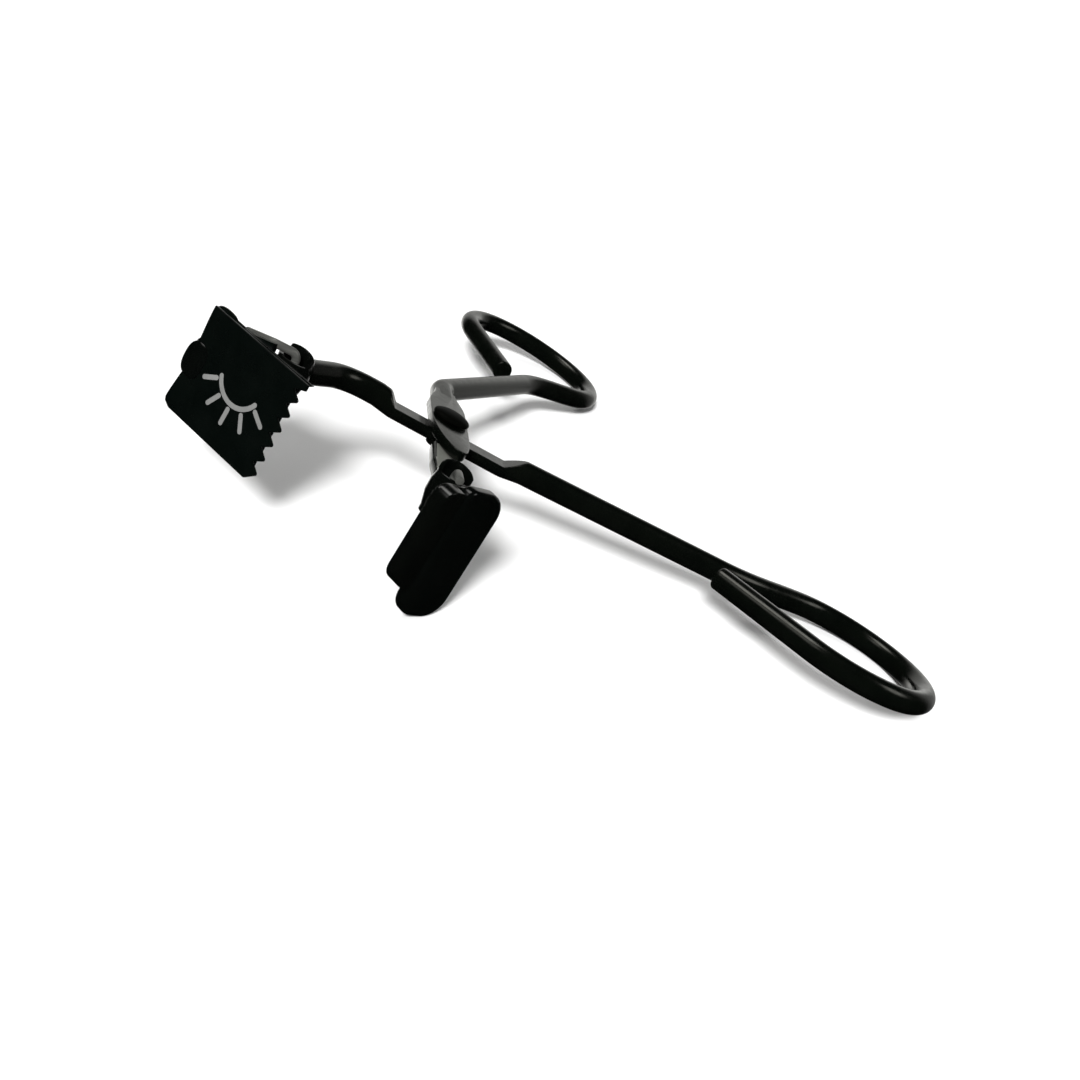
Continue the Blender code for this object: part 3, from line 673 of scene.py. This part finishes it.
def build_upper_wire():
    swing = Matrix.Rotation(PLATE_ANGLE, 4, "Z")
    along = swing.to_3x3() @ Vector((1.0, 0.0, 0.0))
    handle = handle_points(mirrored=True)
    bend = along * ARM_B_BEND_DISTANCE
    bend.z = handle[0].z * 0.5
    path = filleted([along * ARM_B_START, bend, handle[0]], [ARM_B_BEND_RADIUS])[:-1] + handle

    def filed(spot):
        reach = spot.dot(along)
        if reach > ARM_B_BEND_DISTANCE or spot.length > ARM_B_FILED_LIMIT:
            return spot
        top = PLATE_TOP - PLATE_TOP_SINK + max(reach - ARM_B_TOP_RAMP_START, 0.0) * ARM_B_TOP_SLOPE
        bottom = PLATE_BOTTOM + PLATE_UNDER_SINK - max(reach - ARM_B_LAP, 0.0) * ARM_B_UNDER_SLOPE
        spot.z = soft_min(spot.z, top, PLATE_BLEND)
        spot.z = -soft_min(-spot.z, -bottom, PLATE_BLEND)
        return spot

    mesh = swept(path, round_wire, shaped=filed)
    plate = slab(plate_outline(), PLATE_BOTTOM, PLATE_TOP, PLATE_BEVEL)
    plate.transform(swing)
    mesh = combine(mesh, plate, "UNION")

    pad_end = Vector((PAD_AXIS.x, PAD_AXIS.y, NECK_Z))
    neck_start = -along * NECK_ROOT
    neck_start.z = NECK_ROOT_Z
    neck_turn = -along * NECK_TURN
    neck_turn.z = NECK_Z
    neck_end = pad_end + (neck_turn - pad_end).normalized() * SEAM_REACH

    def dressed(spot):
        spot.z = soft_min(spot.z, neck_flat(spot, along), FILE_BLEND)
        return spot

    neck_path = filleted([neck_start, neck_turn, neck_end], [NECK_BEND_RADIUS])
    neck = swept(neck_path, lambda share: (NECK_HALF_WIDTH, WIRE_RADIUS), shaped=dressed)
    mesh = combine(mesh, neck, "UNION")
    return combine(mesh, rivet_hole(), "DIFFERENCE")


def paint_neck_flat_sheen(wire):
    """Give the upward-facing faces of the neck's filed flat a satin material whose grey base colour is a
    painted sheen, standing in for the light they reflect.
    """
    wire.data.materials.append(painted_sheen_grey)
    along = Vector((math.cos(PLATE_ANGLE), math.sin(PLATE_ANGLE), 0.0))
    to_tool = TOOL.inverted()
    for face in wire.data.polygons:
        spot = to_tool @ face.center
        faces_up = face.normal.dot(tool_up) > NECK_SHEEN_FACING
        on_flat = abs(spot.z - neck_flat(spot, along)) < NECK_SHEEN_BAND
        if -spot.dot(along) > NECK_SHEEN_FROM and faces_up and on_flat:
            face.material_index = 1


def build_rivet_head():
    """Domed head with a rolled rim, on its shank."""
    seat = PLATE_TOP + FIT_GAP
    tail = -WIRE_RADIUS - LAP_DROP - FIT_GAP
    profile = []
    steps = 16
    for index in range(steps + 1):
        angle = math.pi / 2 * (1 - index / steps)
        height = seat + RIVET_RIM + (RIVET_HEAD_HEIGHT - RIVET_RIM) * math.sin(angle)
        profile.append((RIVET_HEAD_RADIUS * math.cos(angle), height))
    for index in range(1, 7):
        angle = -math.pi / 2 * index / 6
        radius = RIVET_HEAD_RADIUS - RIVET_EDGE_RADIUS + RIVET_EDGE_RADIUS * math.cos(angle)
        profile.append((radius, seat + RIVET_EDGE_RADIUS + RIVET_EDGE_RADIUS * math.sin(angle)))
    profile += [
        (RIVET_SHANK_RADIUS, seat),
        (RIVET_SHANK_RADIUS, tail),
        (RIVET_TAIL_RADIUS, tail),
        (RIVET_TAIL_RADIUS, tail - RIVET_TAIL_HEIGHT * 0.4),
        (RIVET_TAIL_RADIUS * 0.9, tail - RIVET_TAIL_HEIGHT * 0.75),
        (RIVET_TAIL_RADIUS * 0.6, tail - RIVET_TAIL_HEIGHT),
        (0.0, tail - RIVET_TAIL_HEIGHT),
    ]
    return turned(profile)


piece("lower_wire", build_lower_wire(), TOOL, "lower_arm", arm_coating, ["arm_a"])
upper_wire = piece(
    "upper_wire", build_upper_wire(), TOOL, "upper_arm", arm_coating, ["arm_b"]
)
# The neck's filed flat gets its painted sheen: grey colour in place of reflected light.
paint_neck_flat_sheen(upper_wire)
piece("rivet_dome", build_rivet_head(), TOOL, "lower_arm", rivet_steel, ["pivot_rivet"])


# ---- heads ----


def stroke(path, width):
    """Outline of a round-ended stroke along a flat path."""
    left, right = [], []
    last = len(path) - 1
    for index, point in enumerate(path):
        along = (path[min(index + 1, last)] - path[max(index - 1, 0)]).normalized()
        side = Vector((-along.y, along.x)) * width / 2
        left.append(point + side)
        right.append(point - side)
    outline = []
    for run, tip in ((left, path[-1]), (list(reversed(right)), path[0])):
        outline += run
        start = run[-1] - tip
        for step in range(1, 8):
            turn = Matrix.Rotation(-math.pi * step / 8, 2)
            outline.append(tip + turn @ start)
    return [(point.x, point.y) for point in outline]


def build_lash_mark():
    """Plain printed drawing of a closed eye: a curved lid and the lashes below it."""
    work = bmesh.new()
    lid = [math.radians(angle) for angle in range(-155, -24, 5)]
    paths = [[Vector((math.cos(a), math.sin(a))) * MARK_RADIUS for a in lid]]
    for angle in MARK_LASHES:
        ray = Vector((math.cos(math.radians(angle)), math.sin(math.radians(angle))))
        near = MARK_RADIUS + MARK_WIDTH + MARK_GAP
        paths.append([ray * (near + MARK_LASH * step / 6) for step in range(7)])
    for path in paths:
        mesh = slab(stroke(path, MARK_WIDTH), 0.0, MARK_HEIGHT, MARK_HEIGHT * 0.4)
        work.from_mesh(mesh)
    mark = mesh_of(work)
    mark.transform(Matrix.Rotation(math.radians(90), 4, "X"))
    mark.transform(Matrix.Translation((MARK_PLACE.x, COMB_FACE_Y - MARK_LIFT, MARK_PLACE.y)))
    return mark


piece("lash_mark", build_lash_mark(), COMB_HEAD @ CANT, "comb_head", print_ink)


def rounded(left, right, bottom, top, radii, steps=10):
    """Rectangle with its own radius at each corner, from the bottom left, anticlockwise."""
    outline = []
    for index, ((x, z), radius) in enumerate(
        zip(((left, bottom), (right, bottom), (right, top), (left, top)), radii)
    ):
        centre = Vector((x + radius if x == left else x - radius, z + radius if z == bottom else z - radius))
        for step in range(steps + 1):
            angle = math.radians(180 + 90 * index + 90 * step / steps)
            outline.append(centre + Vector((math.cos(angle), math.sin(angle))) * radius)
    return outline


def oval(place, half_width, half_height, power, steps=64):
    """Superellipse, anticlockwise."""
    outline = []
    for index in range(steps):
        angle = 2 * math.pi * index / steps
        across, up = math.cos(angle), math.sin(angle)
        outline.append(
            place
            + Vector(
                (
                    half_width * math.copysign(abs(across) ** (2 / power), across),
                    half_height * math.copysign(abs(up) ** (2 / power), up),
                )
            )
        )
    return outline


def inset(outline, distance):
    """An anticlockwise outline with its points moved inward."""
    count = len(outline)
    moved = []
    for index, point in enumerate(outline):
        along = (outline[(index + 1) % count] - outline[index - 1]).normalized()
        moved.append(point + Vector((-along.y, along.x)) * distance)
    return moved


def cushion(outline, back, front, back_round, front_round, crown=0.0):
    """Closed form over an upright outline, from back to front along -Y, with both rims rounded and,
    if wanted, a crowned front. A round is its inset and its depth."""
    levels = []
    steps = 6
    for step in range(steps + 1):
        angle = math.pi / 2 * step / steps
        depth = back - back_round[1] * (1 - math.cos(angle))
        levels.append((back_round[0] * (1 - math.sin(angle)), 1.0, depth))
    for step in range(steps + 1):
        angle = math.pi / 2 * step / steps
        depth = front + front_round[1] * (1 - math.sin(angle))
        levels.append((front_round[0] * (1 - math.cos(angle)), 1.0, depth))
    if crown:
        for share in (0.85, 0.65, 0.4, 0.15):
            levels.append((front_round[0], share, front - crown * (1 - share**2)))
    middle = sum(outline, Vector((0.0, 0.0))) / len(outline)
    rings = []
    for distance, share, depth in levels:
        ring = [middle + (point - middle) * share for point in inset(outline, distance)]
        rings.append([Vector((point.x, depth, point.y)) for point in ring])
    return lofted(rings)


def build_tab():
    """Rubber tab: a rounded lobe that bulges past the comb's edge, on a flange between the plates."""
    bulge = oval(TAB_PLACE, TAB_HALF_WIDTH, TAB_HALF_HEIGHT, 2.6)
    lobe = cushion(bulge, TAB_BACK_Y, TAB_FRONT_Y, (0.1, 0.1), (0.45, 0.3), 0.12)
    low, high = TAB_PLACE.y - FLANGE_HALF_HEIGHT, TAB_PLACE.y + FLANGE_HALF_HEIGHT
    sheet = rounded(FLANGE_LEFT, FLANGE_RIGHT, low, high, (1.2, 0.4, 0.4, 1.2))
    flange = cushion(sheet, TAB_BACK_Y, FLANGE_FRONT_Y, (0.05, 0.05), (0.05, 0.05))
    return combine(lobe, flange, "UNION")


def build_comb_back():
    """Back plate with the folded web under its tongue and the turned-up corner beside the edge."""
    mesh = eased("comb_back_plate", BACK_SHEET_EASE)
    web = []
    for x in (WEB_START, TONGUE_END.x, -5.0, -3.4, TONGUE_START.x, WEB_END):
        share = (x - TONGUE_END.x) / (TONGUE_START.x - TONGUE_END.x)
        top = TONGUE_END.z + (TONGUE_START.z - TONGUE_END.z) * share
        lower = [Vector((x, y, WEB_BOTTOM)) for y in (WEB_FRONT_Y, WEB_BACK_Y)]
        upper = [Vector((x, y, top)) for y in (WEB_BACK_Y, WEB_FRONT_Y)]
        web.append(lower + upper)
    fin = lofted(web)
    fin.transform(COMB_HEAD)
    mesh = combine(mesh, fin, "UNION")
    lobe = oval(CORNER_PLACE, CORNER_HALF_WIDTH, CORNER_HALF_HEIGHT, 2.2)
    corner = cushion(lobe, CORNER_BACK_Y, CORNER_FRONT_Y, (0.15, 0.15), (0.15, 0.15))
    corner.transform(COMB_HEAD @ CANT)
    return combine(mesh, corner, "UNION")


def build_carrier():
    """Folded sheet: a back plate whose left side wraps round into a short front lip."""
    lip_right = CARRIER_LEFT + CARRIER_LIP
    radii = (2.0, 0.3, 0.3, 1.8)
    outer = rounded(CARRIER_LEFT, lip_right, CARRIER_BOTTOM, CARRIER_TOP, radii)
    mesh = cushion(outer, CARRIER_BACK_Y, CARRIER_FRONT_Y, (0.1, 0.1), (0.16, 0.16))
    hollow = rounded(
        CARRIER_LEFT + CARRIER_SHEET,
        lip_right + 2.0,
        CARRIER_BOTTOM + CARRIER_SHEET,
        CARRIER_TOP - CARRIER_SHEET,
        (1.5, 0.3, 0.3, 1.3),
    )
    pocket = cushion(
        hollow, CARRIER_BACK_Y - CARRIER_SHEET, CARRIER_FRONT_Y + CARRIER_SHEET, (0.01, 0.01), (0.01, 0.01)
    )
    mesh = combine(mesh, pocket, "DIFFERENCE")
    back = rounded(CARRIER_LEFT, CARRIER_RIGHT, CARRIER_BOTTOM, CARRIER_TOP, (2.0, 1.5, 1.5, 1.8))
    plate = cushion(back, CARRIER_BACK_Y, CARRIER_BACK_Y - CARRIER_SHEET, (0.1, 0.1), (0.1, 0.1))
    return combine(mesh, plate, "UNION")


def build_pad():
    """Silicone pad: a tongue inside the carrier and a crowned, well-rounded lobe beside its lip."""
    lobe = cushion(
        rounded(PAD_LEFT, PAD_RIGHT, PAD_BOTTOM, PAD_TOP, (2.6, 3.0, 3.0, 1.6), 16),
        PAD_BACK_Y,
        PAD_FRONT_Y,
        (0.4, 0.4),
        (0.6, 0.6),
        0.1,
    )
    tongue = cushion(
        rounded(-5.2, -1.0, CARRIER_BOTTOM + 0.6, CARRIER_TOP - 0.6, (1.0, 0.3, 0.3, 1.0)),
        PAD_BACK_Y,
        CARRIER_FRONT_Y + CARRIER_SHEET + 0.1,
        (0.1, 0.1),
        (0.1, 0.1),
    )
    return combine(lobe, tongue, "UNION")


STAY = Matrix.Identity(4)
for node, body in (("comb_barrel", "lower_arm"), ("pad_barrel", "upper_arm")):
    piece(node + "_eased", eased(node, BARREL_EASE), STAY, body, black_steel, [node])
for node in ("comb_face_plate", "comb_strip"):
    piece(node + "_eased", eased(node, COMB_EASE), STAY, "comb_head", comb_steel, [node])
for node, body in (("comb_hinge_pin", "comb_head"), ("pad_hinge_pin", "pad_head")):
    piece(node + "_eased", eased(node, BARREL_EASE), STAY, body, pin_steel, [node])
piece(
    "comb_back_sheet", build_comb_back(), STAY, "comb_head", comb_steel, ["comb_back_plate"]
)
piece("comb_rubber_tab", build_tab(), COMB_HEAD @ CANT, "comb_head", silicone, ["comb_tab"])
piece(
    "pad_sheet_carrier",
    build_carrier(),
    PAD_HEAD @ CANT,
    "pad_head",
    black_steel,
    ["pad_carrier"],
)
pad_piece = piece(
    "pad_rubber", build_pad(), PAD_HEAD @ CANT, "pad_head", silicone, ["silicone_pad"]
)

for name, look in (
    ("pivot_washer", nylon),
    ("comb_bush", nylon),
    ("pad_bush", nylon),
    ("comb_pin_washer", black_steel),
    ("pad_pin_washer", black_steel),
):
    node = frame["nodes"][name]
    node.data.materials.clear()
    node.data.materials.append(look)


# ---- studio ----


def build_floor():
    work = bmesh.new()
    bmesh.ops.create_circle(work, cap_ends=True, segments=64, radius=6.0)
    return mesh_of(work)


def direction(azimuth, elevation):
    """Unit vector at an azimuth, in degrees from +Y towards +X, and an elevation."""
    azimuth, elevation = math.radians(azimuth), math.radians(elevation)
    level = math.cos(elevation)
    return Vector((math.sin(azimuth) * level, math.cos(azimuth) * level, math.sin(elevation)))


def add_sun(name, azimuth, elevation, strength, angle):
    """A sun that lights the table and the matt surfaces; the soft panels make the gloss."""
    lamp = bpy.data.lights.new(name, "SUN")
    lamp.energy = strength
    lamp.angle = math.radians(angle)
    made = bpy.data.objects.new(name, lamp)
    bpy.context.scene.collection.objects.link(made)
    made.rotation_euler = direction(azimuth, elevation).to_track_quat("Z", "Y").to_euler()
    made.visible_glossy = False


def build_world():
    """Dark studio with soft light panels, in front of a white paper sweep."""
    world = bpy.data.worlds.new("studio")
    bpy.context.scene.world = world
    world.use_nodes = True
    tree = world.node_tree
    place = tree.nodes.new("ShaderNodeTexCoord")
    total = None
    for azimuth, elevation, radius, edge, brightness in PANELS:
        turn = tree.nodes.new("ShaderNodeVectorMath")
        turn.operation = "DOT_PRODUCT"
        turn.inputs[1].default_value = direction(azimuth, elevation)
        tree.links.new(place.outputs["Generated"], turn.inputs[0])
        outer = math.cos(math.radians(radius + edge))
        inner = math.cos(math.radians(radius - edge))
        glow = ranged(tree, turn.outputs["Value"], outer, inner, 0.0, brightness)
        if total is None:
            total = glow
            continue
        both = tree.nodes.new("ShaderNodeMath")
        both.operation = "ADD"
        tree.links.new(total, both.inputs[0])
        tree.links.new(glow, both.inputs[1])
        total = both.outputs["Value"]
    panels = tree.nodes["Background"]
    panels.inputs["Color"].default_value = PANEL_TINT
    tree.links.new(total, panels.inputs["Strength"])
    paper = tree.nodes.new("ShaderNodeBackground")
    paper.inputs["Strength"].default_value = PAPER_STRENGTH
    paper.inputs["Color"].default_value = (1.0, 1.0, 1.0, 1.0)
    rays = tree.nodes.new("ShaderNodeLightPath")
    choice = tree.nodes.new("ShaderNodeMixShader")
    tree.links.new(rays.outputs["Is Camera Ray"], choice.inputs["Fac"])
    tree.links.new(panels.outputs["Background"], choice.inputs[1])
    tree.links.new(paper.outputs["Background"], choice.inputs[2])
    tree.links.new(choice.outputs["Shader"], tree.nodes["World Output"].inputs["Surface"])


floor = bpy.data.objects.new("floor", build_floor())
floor.data.materials.append(plain_table("table_white"))
floor.visible_glossy = False
bpy.context.scene.collection.objects.link(floor)
build_world()
add_sun("key", KEY_AZIMUTH, KEY_ELEVATION, KEY_STRENGTH, KEY_ANGLE)
add_sun("fill", 0.0, 90.0, FILL_STRENGTH, FILL_ANGLE)
bpy.context.scene.view_settings.view_transform = "Standard"

camera_data = bpy.data.cameras.new("camera")
camera_data.lens = CAMERA_LENS
camera_data.sensor_width = 36.0
camera_data.clip_start = 0.01
camera = bpy.data.objects.new("camera", camera_data)
bpy.context.scene.collection.objects.link(camera)
forward = direction(CAMERA_AZIMUTH, CAMERA_ELEVATION)
facing = forward.to_track_quat("-Z", "Y").to_matrix().to_4x4()
camera.matrix_world = (
    Matrix.Translation(pivot_at + CAMERA_OFFSET) @ facing @ Matrix.Rotation(CAMERA_ROLL, 4, "Z")
)
bpy.context.scene.camera = camera
